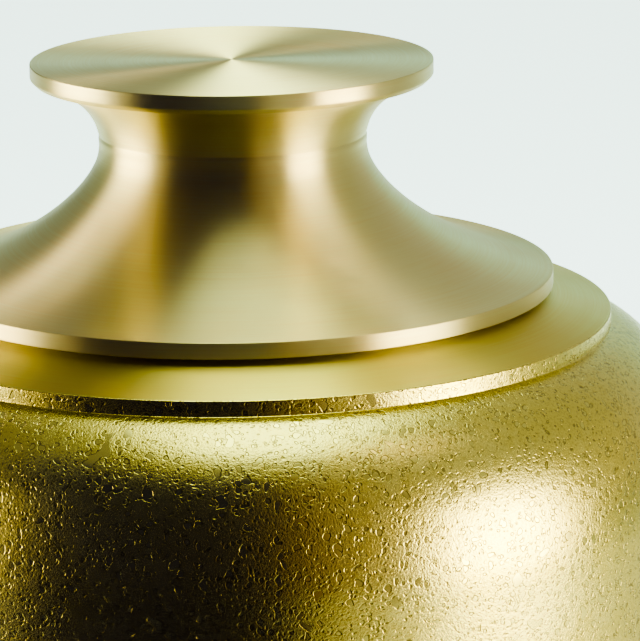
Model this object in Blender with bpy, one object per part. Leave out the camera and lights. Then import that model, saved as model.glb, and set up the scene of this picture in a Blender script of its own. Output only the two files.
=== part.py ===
"""Brass cremation urn: a hollow turned body and a lift-off lid with a flat disc knob.

Metres, +Z up. The origin is on the axis, at the underside of the foot.
Each outline is a list of (radius, height) points, walked with the metal on the
right-hand side, and is then turned about the Z axis.
"""

import math

import bmesh
import bpy

SIDES = 48
SHOULDER_SPANS = 7
LOWER_BODY_SPANS = 12
FOOT_SPANS = 6
COVE_SPANS = 7
FLARE_SPANS = 11
SMOOTH_BELOW_DEGREES = 28.0
MERGE_DISTANCE = 0.00001

# Mouth, seat and collar of the body, downwards from the seat under the lid
SEAT_HEIGHT = 0.2170
MOUTH_RADIUS = 0.0480
SEAT_RADIUS = 0.0580
SEAT_PLATE = 0.0040
COLLAR_RADIUS = 0.0709
COLLAR_DROP = 0.0039
STEP_HEIGHT = 0.0028

# Belly, from the foot of the collar's step to the waist
SHOULDER_CENTRE_RADIUS = 0.0678
BELLY_RADIUS = 0.0875
BELLY_BELOW_SEAT = 0.0360
BELLY_PULL = 0.0820
BODY_WALL = 0.0022
WAIST_RADIUS = 0.0440
WAIST_HEIGHT = 0.0260
WAIST_SLOPE_DEGREES = 55.0
WAIST_PULL = 0.0520

# Foot
FOOT_STEP = 0.0015
FOOT_RADIUS = 0.0600
FOOT_EDGE = 0.0040
FOOT_RING = 0.0080
FLOOR_PLATE = 0.0030
FOOT_COVE_SHARE = 0.6

# Lid, upwards from the top of its edge
LID_RADIUS = 0.0600
LID_EDGE = 0.0030
LID_SHADOW_GAP = 0.0008
LID_LAND_INSET = 0.0040
LID_WALL = 0.0028
NECK_RADIUS = 0.0251
FLARE_RISE = 0.0240
FLARE_SLOPE_DEGREES = 6.0
FLARE_PULL_AT_EDGE = 0.0179
FLARE_PULL_AT_NECK = 0.0081
NECK_BAND = 0.0022
KNOB_RISE = 0.0398
KNOB_RADIUS = 0.0377
KNOB_EDGE = 0.0035
KNOB_CHAMFER = 0.0009
KNOB_PLATE = 0.0058
COVE_LEAN_DEGREES = 11.5
COVE_PULL_AT_KNOB = 0.0062
COVE_PULL_AT_NECK = 0.0056
SPIGOT_DEPTH = 0.0080
SPIGOT_WALL = 0.0023

# Clearances
RESTING_GAP = 0.0003
SPIGOT_CLEARANCE = 0.0005


def arc(centre, radii, start_degrees, end_degrees, spans):
    """Points along an ellipse's arc, both ends included."""
    points = []
    for step in range(spans + 1):
        angle = math.radians(start_degrees + (end_degrees - start_degrees) * step / spans)
        radius = centre[0] + radii[0] * math.cos(angle)
        height = centre[1] + radii[1] * math.sin(angle)
        points.append((radius, height))
    return points


def bezier(start, start_pull, end_pull, end, spans):
    """Points along a cubic curve, both ends included."""
    corners = (start, start_pull, end_pull, end)
    points = []
    for step in range(spans + 1):
        far = step / spans
        near = 1.0 - far
        weights = (near ** 3, 3.0 * near ** 2 * far, 3.0 * near * far ** 2, far ** 3)
        radius = sum(weight * corner[0] for weight, corner in zip(weights, corners))
        height = sum(weight * corner[1] for weight, corner in zip(weights, corners))
        points.append((radius, height))
    return points


def polar(origin, reach, degrees):
    """The point at a reach and an angle above the outward direction from the origin."""
    angle = math.radians(degrees)
    return (origin[0] + reach * math.cos(angle), origin[1] + reach * math.sin(angle))


def inset(points, depth):
    """The same walk, moved into the metal by the depth."""
    moved = []
    for index, (radius, height) in enumerate(points):
        before = points[max(index - 1, 0)]
        after = points[min(index + 1, len(points) - 1)]
        outwards = after[0] - before[0]
        upwards = after[1] - before[1]
        length = math.hypot(outwards, upwards)
        moved.append((radius + depth * upwards / length, height - depth * outwards / length))
    return moved


def up_to(points, axis, limit):
    """The walk's start, cut off where its radius (axis 0) or height (axis 1) reaches the limit."""
    kept = [points[0]]
    for before, after in zip(points, points[1:]):
        if after[axis] >= limit:
            share = (limit - before[axis]) / (after[axis] - before[axis])
            kept.append(tuple(a + (b - a) * share for a, b in zip(before, after)))
            break
        kept.append(after)
    return kept


def belly_outline():
    """Outer wall from the foot of the collar's step, round the belly, to the waist."""
    step_foot = SEAT_HEIGHT - COLLAR_DROP - STEP_HEIGHT
    belly_height = SEAT_HEIGHT - BELLY_BELOW_SEAT
    reach = BELLY_RADIUS - SHOULDER_CENTRE_RADIUS
    start = math.acos((COLLAR_RADIUS - SHOULDER_CENTRE_RADIUS) / reach)
    rise = (step_foot - belly_height) / math.sin(start)
    centre = (SHOULDER_CENTRE_RADIUS, belly_height)
    shoulder = arc(centre, (reach, rise), math.degrees(start), 0.0, SHOULDER_SPANS)
    belly = (BELLY_RADIUS, belly_height)
    waist = (WAIST_RADIUS, WAIST_HEIGHT)
    belly_pull = polar(belly, BELLY_PULL, -90.0)
    waist_pull = polar(waist, WAIST_PULL, WAIST_SLOPE_DEGREES)
    lower = bezier(belly, belly_pull, waist_pull, waist, LOWER_BODY_SPANS)
    return shoulder + lower[1:]


def foot_outline():
    """Outer wall of the foot, from a small step at the waist through a cove to its edge."""
    top = (WAIST_RADIUS + FOOT_STEP, WAIST_HEIGHT)
    edge = (FOOT_RADIUS, FOOT_EDGE)
    top_pull = (top[0], top[1] - FOOT_COVE_SHARE * (top[1] - edge[1]))
    edge_pull = (edge[0] - FOOT_COVE_SHARE * (edge[0] - top[0]), edge[1])
    return bezier(top, top_pull, edge_pull, edge, FOOT_SPANS)


def body_outline():
    """From the floor's middle, up inside, over the mouth, down outside and under the foot."""
    belly = belly_outline()
    cavity = inset(belly, BODY_WALL)[::-1]
    floor = cavity[0][1]
    ceiling = floor - FLOOR_PLATE
    foot = foot_outline()
    ring_inner = FOOT_RADIUS - FOOT_RING
    under = up_to(up_to(inset(foot, BODY_WALL), 0, ring_inner)[::-1], 1, ceiling)
    plate = SEAT_HEIGHT - SEAT_PLATE
    return [
        (0.0, floor),
        *cavity,
        (SEAT_RADIUS, plate),
        (MOUTH_RADIUS, plate),
        (MOUTH_RADIUS, SEAT_HEIGHT),
        (SEAT_RADIUS, SEAT_HEIGHT),
        (COLLAR_RADIUS, SEAT_HEIGHT - COLLAR_DROP),
        *belly,
        *foot,
        (FOOT_RADIUS, 0.0),
        (ring_inner, 0.0),
        *under,
        (0.0, ceiling),
    ]


def lid_outline():
    """From the knob's middle, down outside, under the edge, round the spigot and up inside."""
    land = SEAT_HEIGHT + RESTING_GAP
    edge_bottom = SEAT_HEIGHT + LID_SHADOW_GAP
    edge_top = edge_bottom + LID_EDGE
    knob_top = edge_top + KNOB_RISE
    knob_foot = (KNOB_RADIUS - KNOB_CHAMFER, knob_top - KNOB_EDGE)
    neck = (NECK_RADIUS, edge_top + FLARE_RISE)
    crease = (NECK_RADIUS, neck[1] + NECK_BAND)
    edge = (LID_RADIUS, edge_top)
    cove = bezier(
        knob_foot,
        polar(knob_foot, COVE_PULL_AT_KNOB, 180.0 + COVE_LEAN_DEGREES),
        polar(crease, COVE_PULL_AT_NECK, 90.0 - COVE_LEAN_DEGREES),
        crease,
        COVE_SPANS,
    )
    flare = bezier(
        neck,
        polar(neck, FLARE_PULL_AT_NECK, -90.0),
        polar(edge, FLARE_PULL_AT_EDGE, 180.0 - FLARE_SLOPE_DEGREES),
        edge,
        FLARE_SPANS,
    )
    spigot_outer = MOUTH_RADIUS - SPIGOT_CLEARANCE
    spigot_inner = spigot_outer - SPIGOT_WALL
    spigot_foot = SEAT_HEIGHT - SPIGOT_DEPTH
    land_radius = LID_RADIUS - LID_LAND_INSET
    hollow = up_to(inset(flare, LID_WALL), 0, spigot_inner)[::-1]
    hollow_top = knob_top - KNOB_PLATE
    return [
        (0.0, knob_top),
        (KNOB_RADIUS, knob_top),
        (KNOB_RADIUS, knob_foot[1] + KNOB_CHAMFER),
        *cove,
        *flare,
        (LID_RADIUS, edge_bottom),
        (land_radius, edge_bottom),
        (land_radius, land),
        (spigot_outer, land),
        (spigot_outer, spigot_foot),
        (spigot_inner, spigot_foot),
        *hollow,
        (hollow[-1][0], hollow_top),
        (0.0, hollow_top),
    ]


def brass(name, colour, roughness):
    """A plain metal material."""
    material = bpy.data.materials.new(name)
    material.use_nodes = True
    shader = material.node_tree.nodes["Principled BSDF"]
    shader.inputs["Base Color"].default_value = (*colour, 1.0)
    shader.inputs["Roughness"].default_value = roughness
    shader.inputs["Metallic"].default_value = 1.0
    return material


def turned(name, outline, material):
    """A solid made by turning an outline that starts and ends on the axis."""
    shape = bmesh.new()
    points = [shape.verts.new((radius, 0.0, height)) for radius, height in outline]
    lines = [shape.edges.new(pair) for pair in zip(points, points[1:])]
    bmesh.ops.spin(
        shape,
        geom=points + lines,
        cent=(0.0, 0.0, 0.0),
        axis=(0.0, 0.0, 1.0),
        angle=math.tau,
        steps=SIDES,
    )
    bmesh.ops.remove_doubles(shape, verts=shape.verts, dist=MERGE_DISTANCE)
    bmesh.ops.recalc_face_normals(shape, faces=shape.faces)
    mesh = bpy.data.meshes.new(name)
    shape.to_mesh(mesh)
    shape.free()
    mesh.shade_smooth()
    mesh.set_sharp_from_angle(angle=math.radians(SMOOTH_BELOW_DEGREES))
    mesh.materials.append(material)
    piece = bpy.data.objects.new(name, mesh)
    bpy.context.scene.collection.objects.link(piece)
    return piece


def clear_scene():
    """Remove whatever the scene holds."""
    for item in list(bpy.data.objects):
        bpy.data.objects.remove(item, do_unlink=True)


def main():
    """Build the urn."""
    clear_scene()
    textured = brass("textured_brass", (0.62, 0.47, 0.19), 0.38)
    satin = brass("satin_brass", (0.72, 0.60, 0.32), 0.28)
    turned("urn_body", body_outline(), textured)
    turned("lid", lid_outline(), satin)


if __name__ == "__main__":
    main()
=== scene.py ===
"""Brass cremation urn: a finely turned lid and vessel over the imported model, their finishes and the studio.

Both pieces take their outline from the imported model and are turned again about
the Z axis with many more facets. The belly's etching is real relief first, and
the same etching continues in its material.
"""

import math

import bmesh
import bpy
from mathutils import Matrix, Vector


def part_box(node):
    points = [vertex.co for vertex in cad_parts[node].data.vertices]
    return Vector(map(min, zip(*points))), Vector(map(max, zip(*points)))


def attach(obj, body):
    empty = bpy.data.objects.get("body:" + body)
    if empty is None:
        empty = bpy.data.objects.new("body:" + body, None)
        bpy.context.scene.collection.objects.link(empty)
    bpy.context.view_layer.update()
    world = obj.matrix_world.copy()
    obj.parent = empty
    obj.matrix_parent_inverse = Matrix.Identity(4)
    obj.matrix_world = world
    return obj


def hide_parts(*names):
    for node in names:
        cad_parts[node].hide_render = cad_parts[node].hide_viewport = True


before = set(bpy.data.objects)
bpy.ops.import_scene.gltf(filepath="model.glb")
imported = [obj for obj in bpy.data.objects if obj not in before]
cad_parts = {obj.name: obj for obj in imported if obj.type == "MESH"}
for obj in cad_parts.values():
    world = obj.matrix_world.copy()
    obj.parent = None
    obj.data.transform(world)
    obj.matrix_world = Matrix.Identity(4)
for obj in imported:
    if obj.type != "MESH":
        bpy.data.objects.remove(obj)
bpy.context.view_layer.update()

bl_info = {
    "name": "Brass Urn",
    "version": (1, 0, 0),
    "blender": (4, 5, 0),
    "location": "3D Viewport > Sidebar > Urn",
    "description": "Builds a brass urn with a satin lid and an etched belly, and its studio",
    "category": "Object",
}

GRAIN = "grain"

HARD_CORNER_DEGREES = 24.0
LONE_BEND_DEGREES = 9.0
LONE_BEND_RATIO = 2.0
ON_PLANE = 1e-6
AT_RIM = 1e-5
OUTLINE_DECIMALS = 6
IMAGE_LONG_SIDE_PIXELS = 641.0

# Rounding of crisp edges: points along each round, and the rows kept clear beside it
ROUNDING = (0.25, 0.5, 0.75)
CUT_SHARE = 0.3
GUARD_SOFTNESSES = 3.0
GUARD_SHARE = 0.45
GUARD_CLEARANCE = 1.3

# Satin: the sizes of its drift and its haze, and what the lines and the haze change its roughness by
DRIFT_PITCH = 0.035
HAZE_PITCH = 0.009
LINE_GLOSS = 0.16
HAZE_GLOSS = 0.10

# Turning lines: their relief, the way across the piece in which they change, and by how many noise cells
LINE_STRENGTH = 0.15
LINE_DEPTH = 0.00002
LINE_SLANT = (0.8, 0.6)
LINE_CHANGES = 2.4

# The turn that lays the satin's gloss along the lines, as a share of a full turn
QUARTER_TURN = 0.25

# Etched outlines: their wander and a round island's largest radius, both in pitches
WANDER = 0.7
ROUND_REACH = 0.40

# The noise's slope at a large island's edge, over one pitch
NOISE_SLOPE = 0.25

# An island's side as a share of its moat's width, and the moat's depth as a share of an island's height
ISLAND_SIDE = 0.6
MOAT_STEP = 0.5

# How much painted shade and patina darken the moats, how much painted shade darkens the ground's valleys, and
# the levels where a valley's painted shade begins and is full
MOAT_SHADE_AND_PATINA = 0.70
VALLEY_SHADE = 0.25
VALLEY_SHADE_LEVELS = (0.50, 0.36)

# Patches in the etched ground: their size in pebbles and change of roughness, and the size of the worn ones
PATCH_PEBBLES = 4.0
PATCH_GLOSS = 0.08
WORN_PITCH = 0.02

# Noise: its middle level, and the levels between which a patch begins and is full
MIDDLE = 0.5
PATCH_EDGES = (0.35, 0.7)

# Floor: its size, and the distances behind and beside the urn between which its glow grows and fades
FLOOR_HALF_WIDTH = 6.0
GLOW_BEHIND = (0.25, 0.95)
GLOW_BESIDE = (0.6, 1.5)

# Flags and softboxes
FLAG_DISTANCE = 0.60
FLAG_FOOT = 0.002
FLAG_SPANS = 24
URN_MIDDLE = (0.0, 0.0, 0.22)
DARK = (0.026, 0.024, 0.08)
WARM = (1.0, 0.87, 0.84)
AMBER = (1.0, 0.80, 0.72)
COOL = (0.88, 1.0, 0.92)


class TurningSettings(bpy.types.PropertyGroup):
    """How finely the pieces are turned."""

    facet_degrees: bpy.props.FloatProperty(
        name="Facet Turn", description="Most that the outline turns between two rows",
        default=3.0, min=1.0, max=15.0)
    edge_softness: bpy.props.FloatProperty(
        name="Edge Softness", description="Length cut back from each crisp edge to round it",
        default=0.00018, unit="LENGTH", precision=5)
    lid_columns: bpy.props.IntProperty(
        name="Lid Columns", description="Facets round the lid", default=240, min=24)
    plain_columns: bpy.props.IntProperty(
        name="Plain Columns", description="Facets round the vessel's smooth parts",
        default=150, min=24)
    etched_split: bpy.props.IntProperty(
        name="Etched Split", description="Etched facets to each smooth one", default=4, min=1)
    upper_row: bpy.props.FloatProperty(
        name="Upper Row", description="Height of the etched rows under the collar",
        default=0.00115, unit="LENGTH", precision=5)
    lower_row: bpy.props.FloatProperty(
        name="Lower Row", description="Height of the etched rows at the waist",
        default=0.0029, unit="LENGTH", precision=5)
    scribe_width: bpy.props.FloatProperty(
        name="Scribe Width", description="Width of the line scribed at the top of the neck",
        default=0.00030, unit="LENGTH", precision=5)
    scribe_depth: bpy.props.FloatProperty(
        name="Scribe Depth", description="Depth of the line scribed at the top of the neck",
        default=0.00005, unit="LENGTH", precision=5)


class EtchSettings(bpy.types.PropertyGroup):
    """The etched grain of the belly: smooth raised islands in fine moats, over a pebbled ground."""

    large_pitch: bpy.props.FloatProperty(
        name="Large Pitch", description="Typical distance between the large islands",
        default=0.0034, unit="LENGTH", precision=5)
    large_level: bpy.props.FloatProperty(
        name="Large Level", description="Noise level above which a large island is left raised",
        default=0.69, min=0.0, max=1.0)
    round_pitch: bpy.props.FloatProperty(
        name="Round Pitch", description="Typical distance between the round islands",
        default=0.0017, unit="LENGTH", precision=5)
    round_share: bpy.props.FloatProperty(
        name="Round Share", description="Share of the places that hold a round island",
        default=0.78, min=0.0, max=1.0)
    small_pitch: bpy.props.FloatProperty(
        name="Small Pitch", description="Typical distance between the smallest islands",
        default=0.00095, unit="LENGTH", precision=5)
    small_share: bpy.props.FloatProperty(
        name="Small Share", description="Share of the places that hold a smallest island",
        default=0.75, min=0.0, max=1.0)
    moat: bpy.props.FloatProperty(
        name="Moat", description="Width of the dark moat round each island",
        default=0.00016, unit="LENGTH", precision=5)
    depth: bpy.props.FloatProperty(
        name="Etch Depth", description="Depth of the moats below the islands in the finish",
        default=0.0000035, unit="LENGTH", precision=7)
    press_depth: bpy.props.FloatProperty(
        name="Press Depth", description="Depth of the ground below the large islands in the mesh",
        default=0.000015, unit="LENGTH", precision=5)
    press_edge: bpy.props.FloatProperty(
        name="Press Edge", description="Noise range over which an island's side falls in the mesh",
        default=0.20, min=0.001, max=0.5)
    pebble_pitch: bpy.props.FloatProperty(
        name="Pebble Pitch", description="Typical distance between the ground's pebbles",
        default=0.00045, unit="LENGTH", precision=5)
    pebble_height: bpy.props.FloatProperty(
        name="Pebble Height", description="Height of the ground's pebbles",
        default=0.00006, unit="LENGTH", precision=5)


class ColourSettings(bpy.types.PropertyGroup):
    """Colours and gloss of the metal."""

    lid: bpy.props.FloatVectorProperty(
        name="Lid Brass", description="Satined metal of the lid",
        subtype="COLOR", size=3, min=0.0, max=1.0, default=(0.63, 0.59, 0.24))
    satin: bpy.props.FloatVectorProperty(
        name="Satin Brass", description="Satined metal of the vessel's collar and foot",
        subtype="COLOR", size=3, min=0.0, max=1.0, default=(0.62, 0.57, 0.12))
    warmth: bpy.props.FloatVectorProperty(
        name="Warmth", description="What the warmer drift in the satined metal is multiplied by",
        subtype="COLOR", size=3, min=0.0, max=2.0, default=(1.03, 0.93, 0.88))
    island: bpy.props.FloatVectorProperty(
        name="Island Brass", description="Smooth raised islands of the etching",
        subtype="COLOR", size=3, min=0.0, max=1.0, default=(0.64, 0.59, 0.15))
    ground: bpy.props.FloatVectorProperty(
        name="Ground Brass", description="Granular etched ground",
        subtype="COLOR", size=3, min=0.0, max=1.0, default=(0.62, 0.55, 0.12))
    # Painted cavity shade with some patina in the moats, and painted shade in the pebbles' hollows
    moat: bpy.props.FloatVectorProperty(
        name="Moat Brass", description="Dulled metal in the moats and pits of the etching",
        subtype="COLOR", size=3, min=0.0, max=1.0, default=(0.16, 0.13, 0.035))
    satin_roughness: bpy.props.FloatProperty(
        name="Satin Roughness", description="Roughness of the satined metal",
        default=0.40, min=0.0, max=1.0)
    satin_anisotropy: bpy.props.FloatProperty(
        name="Satin Anisotropy", description="How much glossier the satin is along its lines than across",
        default=0.95, min=0.0, max=1.0)
    island_roughness: bpy.props.FloatProperty(
        name="Island Roughness", description="Roughness of the raised islands",
        default=0.17, min=0.0, max=1.0)
    ground_roughness: bpy.props.FloatProperty(
        name="Ground Roughness", description="Roughness of the etched ground",
        default=0.24, min=0.0, max=1.0)
    lathe_pitch: bpy.props.FloatProperty(
        name="Lathe Pitch", description="Typical distance between the turning lines",
        default=0.00030, unit="LENGTH", precision=5)


class StudioSettings(bpy.types.PropertyGroup):
    """Camera, lamps and backdrop."""

    camera_distance: bpy.props.FloatProperty(
        name="Camera Distance", description="Camera to the centre of the lid's edge",
        default=0.796, unit="LENGTH")
    camera_elevation: bpy.props.FloatProperty(
        name="Camera Elevation", description="Camera's angle above the lid's edge",
        default=math.radians(12.79), subtype="ANGLE")
    camera_pan: bpy.props.FloatProperty(
        name="Camera Pan", description="Turn of the view to the right of the lid's centre",
        default=math.radians(1.142), subtype="ANGLE")
    camera_tilt: bpy.props.FloatProperty(
        name="Camera Tilt", description="Turn of the view above the lid's centre",
        default=math.radians(-0.743), subtype="ANGLE")
    camera_roll: bpy.props.FloatProperty(
        name="Camera Roll", description="Turn of the picture about the line of sight",
        default=math.radians(-0.948), subtype="ANGLE")
    focal_pixels: bpy.props.FloatProperty(
        name="Focal Pixels", description="Focal length in pixels of a 640 by 641 picture",
        default=4214.3)
    left_power: bpy.props.FloatProperty(
        name="Left Power", description="Left softbox", default=14.0, subtype="POWER")
    right_power: bpy.props.FloatProperty(
        name="Right Power", description="Right softbox", default=15.0, subtype="POWER")
    rear_power: bpy.props.FloatProperty(
        name="Rear Power", description="Small softbox behind the urn on the left",
        default=1.0, subtype="POWER")
    top_power: bpy.props.FloatProperty(
        name="Top Power", description="Overhead softbox", default=9.4, subtype="POWER")
    high_power: bpy.props.FloatProperty(
        name="High Power", description="Warm lamp high on the right", default=0.9, subtype="POWER")
    back_power: bpy.props.FloatProperty(
        name="Back Power", description="Strip light high at the back", default=5.4, subtype="POWER")
    back_wall: bpy.props.FloatVectorProperty(
        name="Back Wall", description="Colour of the room behind the urn",
        subtype="COLOR", size=3, min=0.0, max=1.0, default=(0.63, 0.88, 0.77))
    side_walls: bpy.props.FloatVectorProperty(
        name="Side Walls", description="Colour of the room beside the urn",
        subtype="COLOR", size=3, min=0.0, max=1.0, default=(0.56, 0.53, 0.50))
    left_corner: bpy.props.FloatVectorProperty(
        name="Left Corner", description="Colour of the room's corner behind the urn on the left",
        subtype="COLOR", size=3, min=0.0, max=1.0, default=(0.25, 0.29, 0.26))
    left_ceiling: bpy.props.FloatVectorProperty(
        name="Left Ceiling", description="Colour of the room high on the left",
        subtype="COLOR", size=3, min=0.0, max=1.0, default=(0.24, 0.23, 0.24))
    right_ceiling: bpy.props.FloatVectorProperty(
        name="Right Ceiling", description="Colour of the room high on the right",
        subtype="COLOR", size=3, min=0.0, max=1.0, default=(0.49, 0.48, 0.50))
    floor: bpy.props.FloatVectorProperty(
        name="Floor", description="Colour of the floor",
        subtype="COLOR", size=3, min=0.0, max=1.0, default=(0.86, 0.90, 0.90))
    sweep_glow: bpy.props.FloatVectorProperty(
        name="Sweep Glow", description="Light from behind the floor's far part",
        subtype="COLOR", size=3, min=0.0, max=4.0, default=(1.00, 1.38, 1.22))


class Value:
    """A number socket that takes part in Python arithmetic."""

    def __init__(self, graph, socket):
        self.graph = graph
        self.socket = socket

    def __add__(self, other):
        return self.graph.math("ADD", self, other)

    def __sub__(self, other):
        return self.graph.math("SUBTRACT", self, other)

    def __rsub__(self, other):
        return self.graph.math("SUBTRACT", other, self)

    def __mul__(self, other):
        return self.graph.math("MULTIPLY", self, other)

    def __truediv__(self, other):
        return self.graph.math("DIVIDE", self, other)


class Graph:
    """A node tree, of a material or of geometry, with one way to add any node."""

    def __init__(self, tree):
        self.tree = tree

    def add(self, kind, settings=None, sockets=None):
        """A node of that type. Its settings are set first, and then its sockets, by name or number."""
        node = self.tree.nodes.new(kind)
        for name, setting in (settings or {}).items():
            setattr(node, name, setting)
        for name, value in (sockets or {}).items():
            self.feed(node.inputs[name], value)
        return node

    def feed(self, socket, value):
        """Link the value to the socket, or set the socket to it."""
        if isinstance(value, Value):
            value = value.socket
        if isinstance(value, bpy.types.NodeSocket):
            self.tree.links.new(value, socket)
        else:
            socket.default_value = value

    def number(self, node, output=0):
        """A node's output as a value."""
        return Value(self, node.outputs[output])

    def math(self, operation, *operands):
        """A Math node on values or numbers."""
        return self.number(self.add("ShaderNodeMath", {"operation": operation}, dict(enumerate(operands))))

    def vector(self, operation, *operands):
        """A Vector Math node's vector output."""
        node = self.add("ShaderNodeVectorMath", {"operation": operation}, dict(enumerate(operands)))
        return node.outputs[0]

    def scaled(self, vector, factor):
        """A vector times a number."""
        node = self.add("ShaderNodeVectorMath", {"operation": "SCALE"}, {0: vector, "Scale": factor})
        return node.outputs[0]

    def noise(self, place, pitch, detail=2.0, roughness=0.5):
        """A noise node whose features are about a pitch across."""
        sockets = {
            "Vector": place,
            "Scale": 1.0 / pitch,
            "Detail": detail,
            "Roughness": roughness,
        }
        return self.add("ShaderNodeTexNoise", {"noise_dimensions": "3D"}, sockets)

    def smooth(self, value, low, high, start=0.0, end=1.0):
        """The value carried smoothly from the range low to high on to the range start to end."""
        settings = {"interpolation_type": "SMOOTHSTEP"}
        sockets = {"Value": value, "From Min": low, "From Max": high, "To Min": start, "To Max": end}
        return self.number(self.add("ShaderNodeMapRange", settings, sockets))

    def blend(self, factor, start, end):
        """A mix of two colours."""
        node = self.add("ShaderNodeMix", {"data_type": "RGBA"}, {0: factor, 6: start, 7: end})
        return node.outputs[2]


def rgba(colour):
    """A colour with full alpha."""
    return (*colour, 1.0)


def bent_place(graph, place, etch):
    """The place, shifted a little here and there so that no outline is regular."""
    wander = graph.noise(place, etch.round_pitch, detail=0.0).outputs[1]
    centred = graph.vector("SUBTRACT", wander, (0.5, 0.5, 0.5))
    return graph.vector("ADD", place, graph.scaled(centred, etch.round_pitch * WANDER))


def large_rise(graph, place, etch):
    """How far the noise stands above the level of the large islands, for a material or for geometry."""
    broad = graph.noise(place, etch.large_pitch, detail=1.0, roughness=0.4)
    return graph.number(broad) - etch.large_level


def round_rise(graph, place, pitch, share):
    """How far the place lies inside the edge of a round island, in pitches."""
    settings = {"voronoi_dimensions": "3D", "feature": "F1"}
    cells = graph.add("ShaderNodeTexVoronoi", settings, {"Vector": place, "Scale": 1.0 / pitch})
    chance = graph.number(graph.add("ShaderNodeSeparateXYZ", None, {0: cells.outputs[1]}))
    return (chance - (1.0 - share)) * (ROUND_REACH / share) - graph.number(cells)


def etched_heights(graph, place, etch):
    """1 on the islands and 0 off them, and 1 on and round the islands and 0 beyond their moats."""
    bent = bent_place(graph, place, etch)
    kinds = (
        (large_rise(graph, bent, etch), NOISE_SLOPE / etch.large_pitch),
        (round_rise(graph, bent, etch.round_pitch, etch.round_share), 1.0 / etch.round_pitch),
        (round_rise(graph, bent, etch.small_pitch, etch.small_share), 1.0 / etch.small_pitch),
    )
    islands = None
    reached = None
    for rise, steepness in kinds:
        width = etch.moat * steepness
        top = graph.smooth(rise, 0.0, width * ISLAND_SIDE)
        wide = graph.smooth(rise, -width, 0.0)
        islands = top if islands is None else graph.math("MAXIMUM", islands, top)
        reached = wide if reached is None else graph.math("MAXIMUM", reached, wide)
    return islands, reached


def principled(name, sockets):
    """A new node material, its graph and its Principled shader with those sockets set."""
    material = bpy.data.materials.new(name)
    material.use_nodes = True
    graph = Graph(material.node_tree)
    shader = material.node_tree.nodes["Principled BSDF"]
    for socket, value in sockets.items():
        shader.inputs[socket].default_value = value
    return material, graph, shader


def patchy(graph, broad, fine):
    """0 to 1 in broad patches of noise, whose edges follow a finer noise."""
    return graph.smooth(broad + (fine - MIDDLE) * 0.5, *PATCH_EDGES)


def object_place(graph):
    """The point on the piece, in metres."""
    return graph.add("ShaderNodeTexCoord").outputs["Object"]


def lathe_lines(graph, place, pitch):
    """Fine rings left by turning: noise drawn out along the circles round the Z axis."""
    parts = graph.add("ShaderNodeSeparateXYZ", None, {0: place})
    across = graph.number(parts, 0)
    along = graph.number(parts, 1)
    height = graph.number(parts, 2)
    radius = graph.math("SQRT", across * across + along * along)
    drift = (across * LINE_SLANT[0] + along * LINE_SLANT[1]) / radius
    rings = graph.add("ShaderNodeCombineXYZ", None, {
        0: radius / pitch,
        1: height / pitch,
        2: drift * LINE_CHANGES,
    })
    return graph.number(graph.noise(rings.outputs[0], 1.0, detail=3.0, roughness=0.6))


def satin_brass(name, colours, tone):
    """Turned brass of that tone with a satin finish, glossier along the turning lines than across."""
    material, graph, shader = principled(name, {
        "Metallic": 1.0,
        "Anisotropic": colours.satin_anisotropy,
        "Anisotropic Rotation": QUARTER_TURN,
    })
    place = object_place(graph)
    lines = lathe_lines(graph, place, colours.lathe_pitch)
    drift = graph.number(graph.noise(place, DRIFT_PITCH, detail=3.0))
    haze = graph.number(graph.noise(place, HAZE_PITCH, detail=4.0))
    warm = patchy(graph, drift, lines)
    warmer = [part * share for part, share in zip(tone, colours.warmth)]
    graph.feed(shader.inputs["Base Color"], graph.blend(warm, rgba(tone), rgba(warmer)))
    gloss = (lines - MIDDLE) * LINE_GLOSS + (haze - MIDDLE) * HAZE_GLOSS + colours.satin_roughness
    graph.feed(shader.inputs["Roughness"], gloss)
    brush = graph.add("ShaderNodeBump", None, {
        "Strength": LINE_STRENGTH, "Distance": LINE_DEPTH, "Height": lines})
    graph.feed(shader.inputs["Normal"], brush.outputs[0])
    return material


def etched_brass(colours, etch):
    """Etched brass: smooth islands, moats round them darkened with painted shade and patina, and a pebbled,
    warmer ground whose hollows carry painted shade.
    """
    material, graph, shader = principled("etched_brass", {"Metallic": 1.0})
    place = object_place(graph)
    islands, reached = etched_heights(graph, place, etch)
    ground = 1.0 - islands
    moats = reached * ground
    pebbles = graph.number(graph.noise(place, etch.pebble_pitch, detail=3.0, roughness=0.6))
    patches = graph.number(graph.noise(place, etch.pebble_pitch * PATCH_PEBBLES, detail=2.0))
    drift = graph.number(graph.noise(place, WORN_PITCH, detail=2.0))
    worn = graph.blend(patchy(graph, drift, patches), rgba(colours.ground), rgba(colours.island))
    tone = graph.blend(islands, worn, rgba(colours.island))
    # Painted shade in the pebbles' hollows, and painted shade with patina in the moats, both in the moat
    # colour
    shaded_valleys = graph.smooth(pebbles, *VALLEY_SHADE_LEVELS)
    painted_shade_and_patina = graph.math("MAXIMUM", moats * MOAT_SHADE_AND_PATINA, ground * shaded_valleys * VALLEY_SHADE)
    graph.feed(shader.inputs["Base Color"], graph.blend(painted_shade_and_patina, tone, rgba(colours.moat)))
    rough = ground * (colours.ground_roughness - colours.island_roughness) + colours.island_roughness
    graph.feed(shader.inputs["Roughness"], rough + (patches - MIDDLE) * PATCH_GLOSS)
    sides = graph.add("ShaderNodeBump", None, {
        "Strength": 1.0, "Distance": etch.depth, "Height": islands - moats * MOAT_STEP})
    grain = graph.add("ShaderNodeBump", None, {
        "Strength": 1.0, "Distance": etch.pebble_height, "Height": (1.0 - reached) * pebbles,
        "Normal": sides.outputs[0]})
    graph.feed(shader.inputs["Normal"], grain.outputs[0])
    return material


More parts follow.
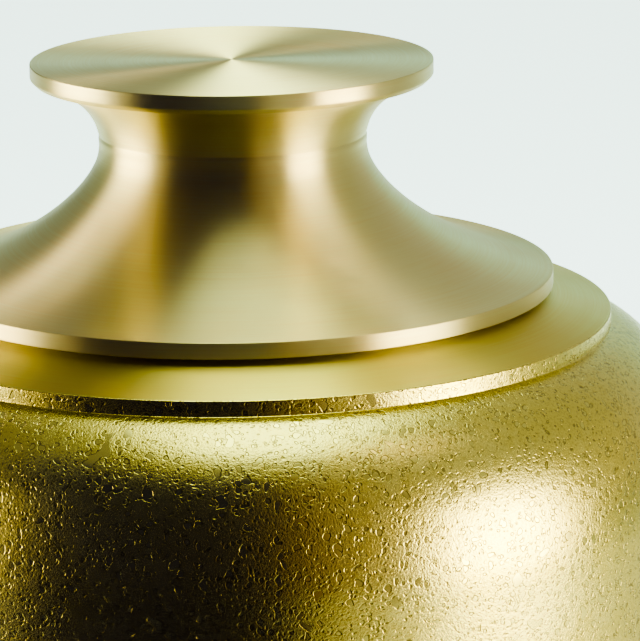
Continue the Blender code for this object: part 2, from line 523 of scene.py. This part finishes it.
def frame_outline(node):
    """A turned CAD node's outline in the half plane of +X, as (radius, height) points.

    It starts at the node's upper flat on the axis, and is walked to its lower one.
    """
    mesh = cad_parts[node].data
    beside = {}
    for edge in mesh.edges:
        ends = [mesh.vertices[index].co for index in edge.vertices]
        if any(abs(end.y) > ON_PLANE or end.x < -ON_PLANE for end in ends):
            continue
        first, second = [(round(end.x, OUTLINE_DECIMALS), round(end.z, OUTLINE_DECIMALS)) for end in ends]
        if first != second:
            beside.setdefault(first, set()).add(second)
            beside.setdefault(second, set()).add(first)
    rims = [point for point, others in beside.items() if len(others) == 1]
    if len(rims) != 2:
        raise RuntimeError(f"The outline of {node} doesn't run in one line")
    walk = [max(rims, key=lambda point: point[1])]
    visited = set(walk)
    onward = beside[walk[0]]
    while onward:
        point = onward.pop()
        walk.append(point)
        visited.add(point)
        onward = beside[point] - visited
    return [(0.0, walk[0][1])] + walk + [(0.0, walk[-1][1])]


def scribed(outline, width, depth):
    """The lid's outline with a fine line scribed at the top of its second upright, which is the neck's."""
    uprights = [index for index, (upper, lower) in enumerate(zip(outline, outline[1:]))
                if abs(upper[0] - lower[0]) < ON_PLANE and upper[1] > lower[1]]
    top = uprights[1]
    radius, height = outline[top]
    line = [(radius - depth, height - width / 2.0), (radius, height - width)]
    return outline[:top + 1] + line + outline[top + 1:]


def direction(start, end):
    """The unit vector from one point to another."""
    return (Vector(end) - Vector(start)).normalized()


def corner_split(outline):
    """The outline's stretches between crisp corners, which neighbouring stretches share."""
    bends = [0.0]
    for before, here, after in zip(outline, outline[1:], outline[2:]):
        bends.append(abs(math.degrees(direction(before, here).angle_signed(direction(here, after)))))
    bends.append(0.0)
    soft = [bend if bend < HARD_CORNER_DEGREES else 0.0 for bend in bends]
    stretches = [[outline[0]]]
    for index in range(1, len(outline)):
        stretches[-1].append(outline[index])
        if index == len(outline) - 1:
            break
        like = max(soft[index - 1], soft[index + 1])
        alone = bends[index] > LONE_BEND_DEGREES and bends[index] > LONE_BEND_RATIO * like
        if bends[index] >= HARD_CORNER_DEGREES or alone:
            stretches.append([outline[index]])
    return stretches


def stretch_tangents(points):
    """A unit tangent for each point of a smooth stretch. It is upright where the radius turns."""
    chords = [direction(start, end) for start, end in zip(points, points[1:])]
    spans = [(Vector(end) - Vector(start)).length for start, end in zip(points, points[1:])]
    if len(points) == 2:
        return [chords[0], chords[0]]
    inner = []
    for index in range(1, len(points) - 1):
        blend = chords[index - 1] * spans[index] + chords[index] * spans[index - 1]
        if chords[index - 1].x * chords[index].x < 0.0:
            blend.x = 0.0
        inner.append(blend.normalized())
    first = (chords[0] * 2.0 - inner[0]).normalized()
    last = (chords[-1] * 2.0 - inner[-1]).normalized()
    return [first] + inner + [last]


def smooth_stretch(points, facet_degrees):
    """The stretch with points added along a smooth curve through the ones it has."""
    tangents = stretch_tangents(points)
    curve = [Vector(points[0])]
    for index in range(len(points) - 1):
        start = Vector(points[index])
        end = Vector(points[index + 1])
        reach = (end - start).length
        turn = math.degrees(tangents[index].angle(tangents[index + 1]))
        parts = max(1, math.ceil(turn / facet_degrees))
        for part in range(1, parts + 1):
            t = part / parts
            curve.append(
                start * (2 * t ** 3 - 3 * t ** 2 + 1)
                + tangents[index] * reach * (t ** 3 - 2 * t ** 2 + t)
                + end * (3 * t ** 2 - 2 * t ** 3)
                + tangents[index + 1] * reach * (t ** 3 - t ** 2)
            )
    return curve


def smooth_curves(outline, facet_degrees):
    """A smooth curve for each of the outline's stretches."""
    return [smooth_stretch(points, facet_degrees) for points in corner_split(outline)]


def stretch_length(curve):
    """Length along a curve of many points."""
    return sum((end - start).length for start, end in zip(curve, curve[1:]))


def along(curve, distance):
    """The point at a distance along a curve of many points."""
    for start, end in zip(curve, curve[1:]):
        span = (end - start).length
        if distance <= span:
            return start.lerp(end, distance / span)
        distance -= span
    return curve[-1].copy()


def even_rows(curve, first, last):
    """The curve with rows whose heights grow evenly from the first to the last."""
    total = stretch_length(curve)
    count = max(2, round(2.0 * total / (first + last)))
    heights = [first + (last - first) * (row + 0.5) / count for row in range(count)]
    share = total / sum(heights)
    rows = [curve[0].copy()]
    distance = 0.0
    for height in heights[:-1]:
        distance += height * share
        rows.append(along(curve, distance))
    rows.append(curve[-1].copy())
    return rows


def eased_join(curves, softness):
    """One list of (point, stretch number), with each corner between two curves rounded off."""
    rows = []
    for number, curve in enumerate(curves):
        total = stretch_length(curve)
        cut = min(softness, total * CUT_SHARE)
        guard = min(GUARD_SOFTNESSES * softness, total * GUARD_SHARE)
        clear = guard * GUARD_CLEARANCE
        start = 0.0 if number == 0 else cut
        end = total if number == len(curves) - 1 else total - cut
        inner = []
        travelled = 0.0
        for before, here in zip(curve, curve[1:]):
            travelled += (here - before).length
            if clear < travelled < total - clear:
                inner.append(here.copy())
        head = [along(curve, start), along(curve, guard)]
        tail = [along(curve, total - guard), along(curve, end)]
        body = head + inner + tail
        if rows:
            corner = curve[0]
            before = rows[-1][0]
            after = body[0]
            for t in ROUNDING:
                point = before * (1 - t) ** 2 + corner * (2 * t * (1 - t)) + after * t ** 2
                rows.append((point, number))
        rows.extend((point, number) for point in body)
    return rows


class TurnedMesh:
    """Rows of vertices round the Z axis, and the faces between them."""

    def __init__(self):
        self.places = []
        self.grains = []
        self.faces = []
        self.finishes = []
        self.last = None

    def add_row(self, point, columns, grain, finish):
        """Add the next row, and the faces from the last row to it."""
        if point.x < ON_PLANE:
            columns = 1
        first = len(self.places)
        for column in range(columns):
            angle = math.tau * column / columns
            self.places.append((point.x * math.cos(angle), point.x * math.sin(angle), point.y))
            self.grains.append(grain)
        row = range(first, first + columns)
        if self.last is not None:
            self.bridge(self.last, row, finish)
        self.last = row

    def bridge(self, upper, lower, finish):
        """Faces between two rows, of which one may be a point or have a multiple of columns."""
        count = min(len(upper), len(lower))
        if count == 1:
            count = max(len(upper), len(lower))
        for column in range(count):
            above = self.run(upper, column, count)
            below = self.run(lower, column, count)
            self.faces.append(above[::-1] + below)
            self.finishes.append(finish)

    @staticmethod
    def run(row, column, count):
        """The row's vertices across one of so many equal columns."""
        if len(row) == 1:
            return [row[0]]
        split = len(row) // count
        return [row[(column * split + step) % len(row)] for step in range(split + 1)]

    def piece(self, name, materials):
        """The rows as a smooth object."""
        mesh = bpy.data.meshes.new(name)
        mesh.from_pydata(self.places, [], self.faces)
        mesh.attributes.new(GRAIN, "FLOAT", "POINT").data.foreach_set("value", self.grains)
        for material in materials:
            mesh.materials.append(material)
        mesh.polygons.foreach_set("material_index", self.finishes)
        mesh.shade_smooth()
        mesh.update()
        piece = bpy.data.objects.new(name, mesh)
        bpy.context.scene.collection.objects.link(piece)
        return piece


def relief_tree(etch):
    """Geometry nodes that sink the etched ground below the islands."""
    tree = bpy.data.node_groups.new("etched_relief", "GeometryNodeTree")
    tree.interface.new_socket("Geometry", in_out="INPUT", socket_type="NodeSocketGeometry")
    tree.interface.new_socket("Geometry", in_out="OUTPUT", socket_type="NodeSocketGeometry")
    graph = Graph(tree)
    came_in = graph.add("NodeGroupInput")
    place = graph.add("GeometryNodeInputPosition").outputs[0]
    facing = graph.add("GeometryNodeInputNormal").outputs[0]
    grain = graph.add("GeometryNodeInputNamedAttribute", {"data_type": "FLOAT"}, {"Name": GRAIN})
    rise = large_rise(graph, bent_place(graph, place, etch), etch)
    islands = graph.smooth(rise, -0.5 * etch.press_edge, 0.5 * etch.press_edge)
    sink = (islands - 1.0) * graph.number(grain) * etch.press_depth
    moved = graph.add("GeometryNodeSetPosition", None, {
        "Geometry": came_in.outputs[0],
        "Offset": graph.scaled(facing, sink.socket),
    })
    graph.add("NodeGroupOutput", None, {0: moved.outputs[0]})
    return tree


def sink_ground(piece, etch):
    """Press the etching into the piece's mesh."""
    relief = piece.modifiers.new("etched_relief", "NODES")
    relief.node_group = relief_tree(etch)
    pressed = bpy.data.meshes.new_from_object(piece.evaluated_get(bpy.context.evaluated_depsgraph_get()))
    piece.modifiers.remove(relief)
    piece.data = pressed


class URN_OT_lid(bpy.types.Operator):
    """Turn the lid, with its knob, flare, edge and spigot."""

    bl_idname = "urn.lid"
    bl_label = "Build Lid"

    def execute(self, context):
        turning = context.scene.urn_turning
        colours = context.scene.urn_colours
        outline = scribed(frame_outline("lid"), turning.scribe_width, turning.scribe_depth)
        curves = smooth_curves(outline, turning.facet_degrees)
        turned = TurnedMesh()
        for point, _ in eased_join(curves, turning.edge_softness):
            turned.add_row(point, turning.lid_columns, 0.0, 0)
        lid = turned.piece("lid_turned", [satin_brass("lid_brass", colours, colours.lid)])
        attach(lid, "root")
        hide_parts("lid")
        return {"FINISHED"}


class URN_OT_vessel(bpy.types.Operator):
    """Turn the vessel: satin collar and foot, and the etched step and belly."""

    bl_idname = "urn.vessel"
    bl_label = "Build Vessel"

    def execute(self, context):
        turning = context.scene.urn_turning
        etch = context.scene.urn_etch
        colours = context.scene.urn_colours
        curves = smooth_curves(frame_outline("urn_body"), turning.facet_degrees)
        falling = [number for number, curve in enumerate(curves) if curve[0].y > curve[-1].y]
        belly = max(falling, key=lambda number: stretch_length(curves[number]))
        step = belly - 1
        curves[step] = even_rows(curves[step], turning.upper_row, turning.upper_row)
        curves[belly] = even_rows(curves[belly], turning.upper_row, turning.lower_row)
        rows = eased_join(curves, turning.edge_softness)
        turned = TurnedMesh()
        for index, (point, number) in enumerate(rows):
            etched = number in (step, belly)
            columns = turning.plain_columns * (turning.etched_split if etched else 1)
            at_end = index + 1 < len(rows) and (rows[index + 1][1] in (step, belly)) != etched
            grain = 1.0 if etched and not at_end else 0.0
            turned.add_row(point, columns, grain, 1 if etched else 0)
        materials = [satin_brass("collar_brass", colours, colours.satin), etched_brass(colours, etch)]
        vessel = turned.piece("urn_body_turned", materials)
        sink_ground(vessel, etch)
        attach(vessel, "root")
        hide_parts("urn_body")
        return {"FINISHED"}


def facing_matrix(place, target):
    """A placing whose -Z axis looks from the place to the target."""
    away = (Vector(place) - Vector(target)).normalized()
    return Matrix.Translation(place) @ away.to_track_quat("Z", "Y").to_matrix().to_4x4()


def add_lamp(name, place, target, size, power, colour, core=0.35, squareness=2.0):
    """A softbox, brightest inside its core and fading out to its edges, oval or squarer."""
    light = bpy.data.lights.new(name, "AREA")
    light.shape = "RECTANGLE"
    light.size = size[0]
    light.size_y = size[1]
    light.energy = power
    light.color = colour
    light.use_nodes = True
    graph = Graph(light.node_tree)
    spot = graph.add("ShaderNodeNewGeometry").outputs["Parametric"]
    parts = graph.add("ShaderNodeSeparateXYZ", None, {0: spot})
    across = graph.math("ABSOLUTE", (graph.number(parts, 0) - 0.5) * 2.0)
    up = graph.math("ABSOLUTE", (graph.number(parts, 1) - 0.5) * 2.0)
    reach = graph.math("POWER", across, squareness) + graph.math("POWER", up, squareness)
    edge = graph.math("POWER", reach, 1.0 / squareness)
    fade = graph.smooth(edge, core, 1.0, 1.0, 0.0)
    graph.feed(light.node_tree.nodes["Emission"].inputs["Strength"], fade)
    lamp = bpy.data.objects.new(name, light)
    lamp.matrix_world = facing_matrix(place, target)
    bpy.context.scene.collection.objects.link(lamp)


def round_the_urn(azimuth, distance, height):
    """A place round the urn, at degrees to the right of the camera's side."""
    angle = math.radians(azimuth)
    return Vector((distance * math.sin(angle), -distance * math.cos(angle), height))


def add_camera(studio, centre):
    """The camera, by its place round the lid's edge."""
    lift = studio.camera_elevation
    place = Vector((0.0, -math.cos(lift), math.sin(lift))) * studio.camera_distance
    ahead = -place.normalized()
    right = Vector((1.0, 0.0, 0.0))
    up = right.cross(ahead)
    ahead = (ahead + right * math.tan(studio.camera_pan) + up * math.tan(studio.camera_tilt)).normalized()
    right = ahead.cross(up).normalized()
    up = right.cross(ahead)
    roll = studio.camera_roll
    level = right * math.cos(roll) + up * math.sin(roll)
    upright = up * math.cos(roll) - right * math.sin(roll)
    lens = bpy.data.cameras.new("camera")
    lens.lens = studio.focal_pixels * lens.sensor_width / IMAGE_LONG_SIDE_PIXELS
    camera = bpy.data.objects.new("camera", lens)
    turn = Matrix((level, upright, -ahead)).transposed().to_4x4()
    camera.matrix_world = Matrix.Translation(place + centre) @ turn
    bpy.context.scene.collection.objects.link(camera)
    bpy.context.scene.camera = camera


def staged_object(name, shape, material):
    """An object of the shape, linked to the scene. The shape is freed."""
    mesh = bpy.data.meshes.new(name)
    shape.to_mesh(mesh)
    shape.free()
    mesh.materials.append(material)
    thing = bpy.data.objects.new(name, mesh)
    bpy.context.scene.collection.objects.link(thing)
    return thing


def add_floor(studio):
    """A wide, plain, pale floor, lit from behind at the back, where it is also the backdrop."""
    shape = bmesh.new()
    bmesh.ops.create_grid(shape, x_segments=1, y_segments=1, size=FLOOR_HALF_WIDTH)
    material, graph, shader = principled("floor", {
        "Base Color": rgba(studio.floor),
        "Roughness": 0.8,
        "Specular IOR Level": 0.2,
        "Emission Strength": 1.0,
    })
    parts = graph.add("ShaderNodeSeparateXYZ", None, {0: object_place(graph)})
    aside = graph.math("ABSOLUTE", graph.number(parts, 0))
    behind = graph.smooth(graph.number(parts, 1), *GLOW_BEHIND)
    central = graph.smooth(aside, *GLOW_BESIDE, 1.0, 0.0)
    glow = graph.blend(behind * central, rgba((0.0, 0.0, 0.0)), rgba(studio.sweep_glow))
    graph.feed(shader.inputs["Emission Color"], glow)
    floor = staged_object("floor", shape, material)


def standing(height, distance=FLAG_DISTANCE):
    """A standing flag's foot and top, as (distance, height)."""
    return ((distance, FLAG_FOOT), (distance, height))


def add_flag(name, azimuths, reaches, tone):
    """A curved flag round part of the urn, seen only in the metal.

    Its two reaches are (distance, height): its foot and its top, or a flat one's inner and outer edge.
    """
    shape = bmesh.new()
    rows = []
    for distance, height in reaches:
        row = []
        for step in range(FLAG_SPANS + 1):
            azimuth = azimuths[0] + (azimuths[1] - azimuths[0]) * step / FLAG_SPANS
            row.append(shape.verts.new(round_the_urn(azimuth, distance, height)))
        rows.append(row)
    for step in range(FLAG_SPANS):
        shape.faces.new((rows[0][step], rows[0][step + 1], rows[1][step + 1], rows[1][step]))
    material, _, _ = principled(name, {
        "Base Color": rgba(tone),
        "Roughness": 1.0,
        "Specular IOR Level": 0.0,
    })
    flag = staged_object(name, shape, material)
    flag.visible_camera = False
    return flag


def add_room(studio):
    """The walls and ceiling of the room, palest behind the urn, as the world.

    Each share goes from 0 to 1 between two limits on the unit direction that is looked in.
    """
    world = bpy.data.worlds.new("studio")
    world.use_nodes = True
    graph = Graph(world.node_tree)
    looked_in = graph.add("ShaderNodeTexCoord").outputs["Generated"]
    parts = graph.add("ShaderNodeSeparateXYZ", None, {0: looked_in})
    to_right = graph.number(parts, 0)
    to_back = graph.number(parts, 1)
    to_top = graph.number(parts, 2)
    rightward = graph.smooth(to_right, -0.6, 0.5)
    cornerward = graph.smooth(to_back - to_right * 0.5, 0.5, 0.9)
    backward = graph.smooth(to_back, 0.7, 0.97) * graph.smooth(to_right, -0.20, -0.08)
    upward = graph.smooth(to_top, 0.20, 0.45)
    ceiling = graph.blend(rightward, rgba(studio.left_ceiling), rgba(studio.right_ceiling))
    sides = graph.blend(cornerward, rgba(studio.side_walls), rgba(studio.left_corner))
    walls = graph.blend(backward, sides, rgba(studio.back_wall))
    sky = world.node_tree.nodes["Background"]
    tone = graph.blend(upward, walls, ceiling)
    graph.feed(sky.inputs["Color"], tone)
    bpy.context.scene.world = world


class URN_OT_studio(bpy.types.Operator):
    """Set up the floor, the room, the softboxes, the flags and the camera."""

    bl_idname = "urn.studio"
    bl_label = "Build Studio"

    def execute(self, context):
        studio = context.scene.urn_studio
        rim_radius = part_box("lid")[1][0]
        rim = [height for radius, height in frame_outline("lid") if radius > rim_radius - AT_RIM]
        add_floor(studio)
        add_room(studio)
        add_flag("left_flag", azimuths=(-68.0, -55.0), reaches=standing(0.48), tone=(0.46, 0.40, 0.34))
        add_flag("dark_flag", azimuths=(-68.0, 13.0), reaches=standing(0.95, distance=0.605), tone=DARK)
        add_flag("brown_flag", azimuths=(13.0, 22.0), reaches=standing(0.85), tone=(0.20, 0.13, 0.08))
        add_flag("grey_flag", azimuths=(22.0, 47.5), reaches=standing(0.80), tone=(0.31, 0.26, 0.27))
        edges = ((0.12, FLAG_FOOT), (FLAG_DISTANCE, FLAG_FOOT))
        mat = add_flag("floor_flag", azimuths=(-66.0, 18.0), reaches=edges, tone=DARK)
        mat.visible_diffuse = False
        mat.visible_shadow = False
        add_lamp("left_softbox", place=round_the_urn(-94.0, 0.70, 0.22), target=URN_MIDDLE,
                 size=(0.76, 0.52), power=studio.left_power, colour=WARM)
        add_lamp("rear_softbox", place=round_the_urn(-140.0, 0.80, 0.78), target=URN_MIDDLE,
                 size=(0.22, 0.22), power=studio.rear_power, colour=WARM)
        add_lamp("right_softbox", place=round_the_urn(62.0, 0.70, 0.17), target=(0.0, 0.0, 0.17),
                 size=(0.60, 0.70), power=studio.right_power, colour=WARM)
        add_lamp("high_softbox", place=(0.47, -0.25, 1.07), target=URN_MIDDLE,
                 size=(0.40, 0.40), power=studio.high_power, colour=AMBER)
        add_lamp("top_softbox", place=(0.06, 0.03, 1.17), target=(0.06, 0.03, 0.0),
                 size=(0.67, 1.20), power=studio.top_power, colour=COOL, core=0.5, squareness=3.0)
        add_lamp("back_strip", place=(0.06, 0.74, 1.04), target=URN_MIDDLE,
                 size=(0.32, 0.95), power=studio.back_power, colour=COOL, core=0.5, squareness=3.0)
        context.scene.view_settings.view_transform = "AgX"
        context.scene.view_settings.look = "AgX - High Contrast"
        add_camera(studio, Vector((0.0, 0.0, max(rim))))
        return {"FINISHED"}


class URN_PT_sidebar(bpy.types.Panel):
    """The urn's pieces and settings."""

    bl_idname = "URN_PT_sidebar"
    bl_label = "Brass Urn"
    bl_space_type = "VIEW_3D"
    bl_region_type = "UI"
    bl_category = "Urn"

    def draw(self, context):
        for operator in (URN_OT_lid, URN_OT_vessel, URN_OT_studio):
            self.layout.operator(operator.bl_idname)
        for name, title, group in SETTINGS:
            box = self.layout.box()
            box.label(text=title)
            for key in group.__annotations__:
                box.prop(getattr(context.scene, name), key)


SETTINGS = (
    ("urn_turning", "Turning", TurningSettings),
    ("urn_etch", "Etching", EtchSettings),
    ("urn_colours", "Brass", ColourSettings),
    ("urn_studio", "Studio", StudioSettings),
)
OPERATORS = (URN_OT_lid, URN_OT_vessel, URN_OT_studio)


def register():
    """Register the classes and hang the settings on the scene."""
    for name, _, group in SETTINGS:
        bpy.utils.register_class(group)
        setattr(bpy.types.Scene, name, bpy.props.PointerProperty(type=group))
    for item in (*OPERATORS, URN_PT_sidebar):
        bpy.utils.register_class(item)


def unregister():
    """Undo register."""
    for item in (URN_PT_sidebar, *reversed(OPERATORS)):
        bpy.utils.unregister_class(item)
    for name, _, group in reversed(SETTINGS):
        delattr(bpy.types.Scene, name)
        bpy.utils.unregister_class(group)


def main():
    """Build the urn and its studio."""
    register()
    bpy.ops.urn.lid()
    bpy.ops.urn.vessel()
    bpy.ops.urn.studio()


if __name__ == "__main__":
    main()
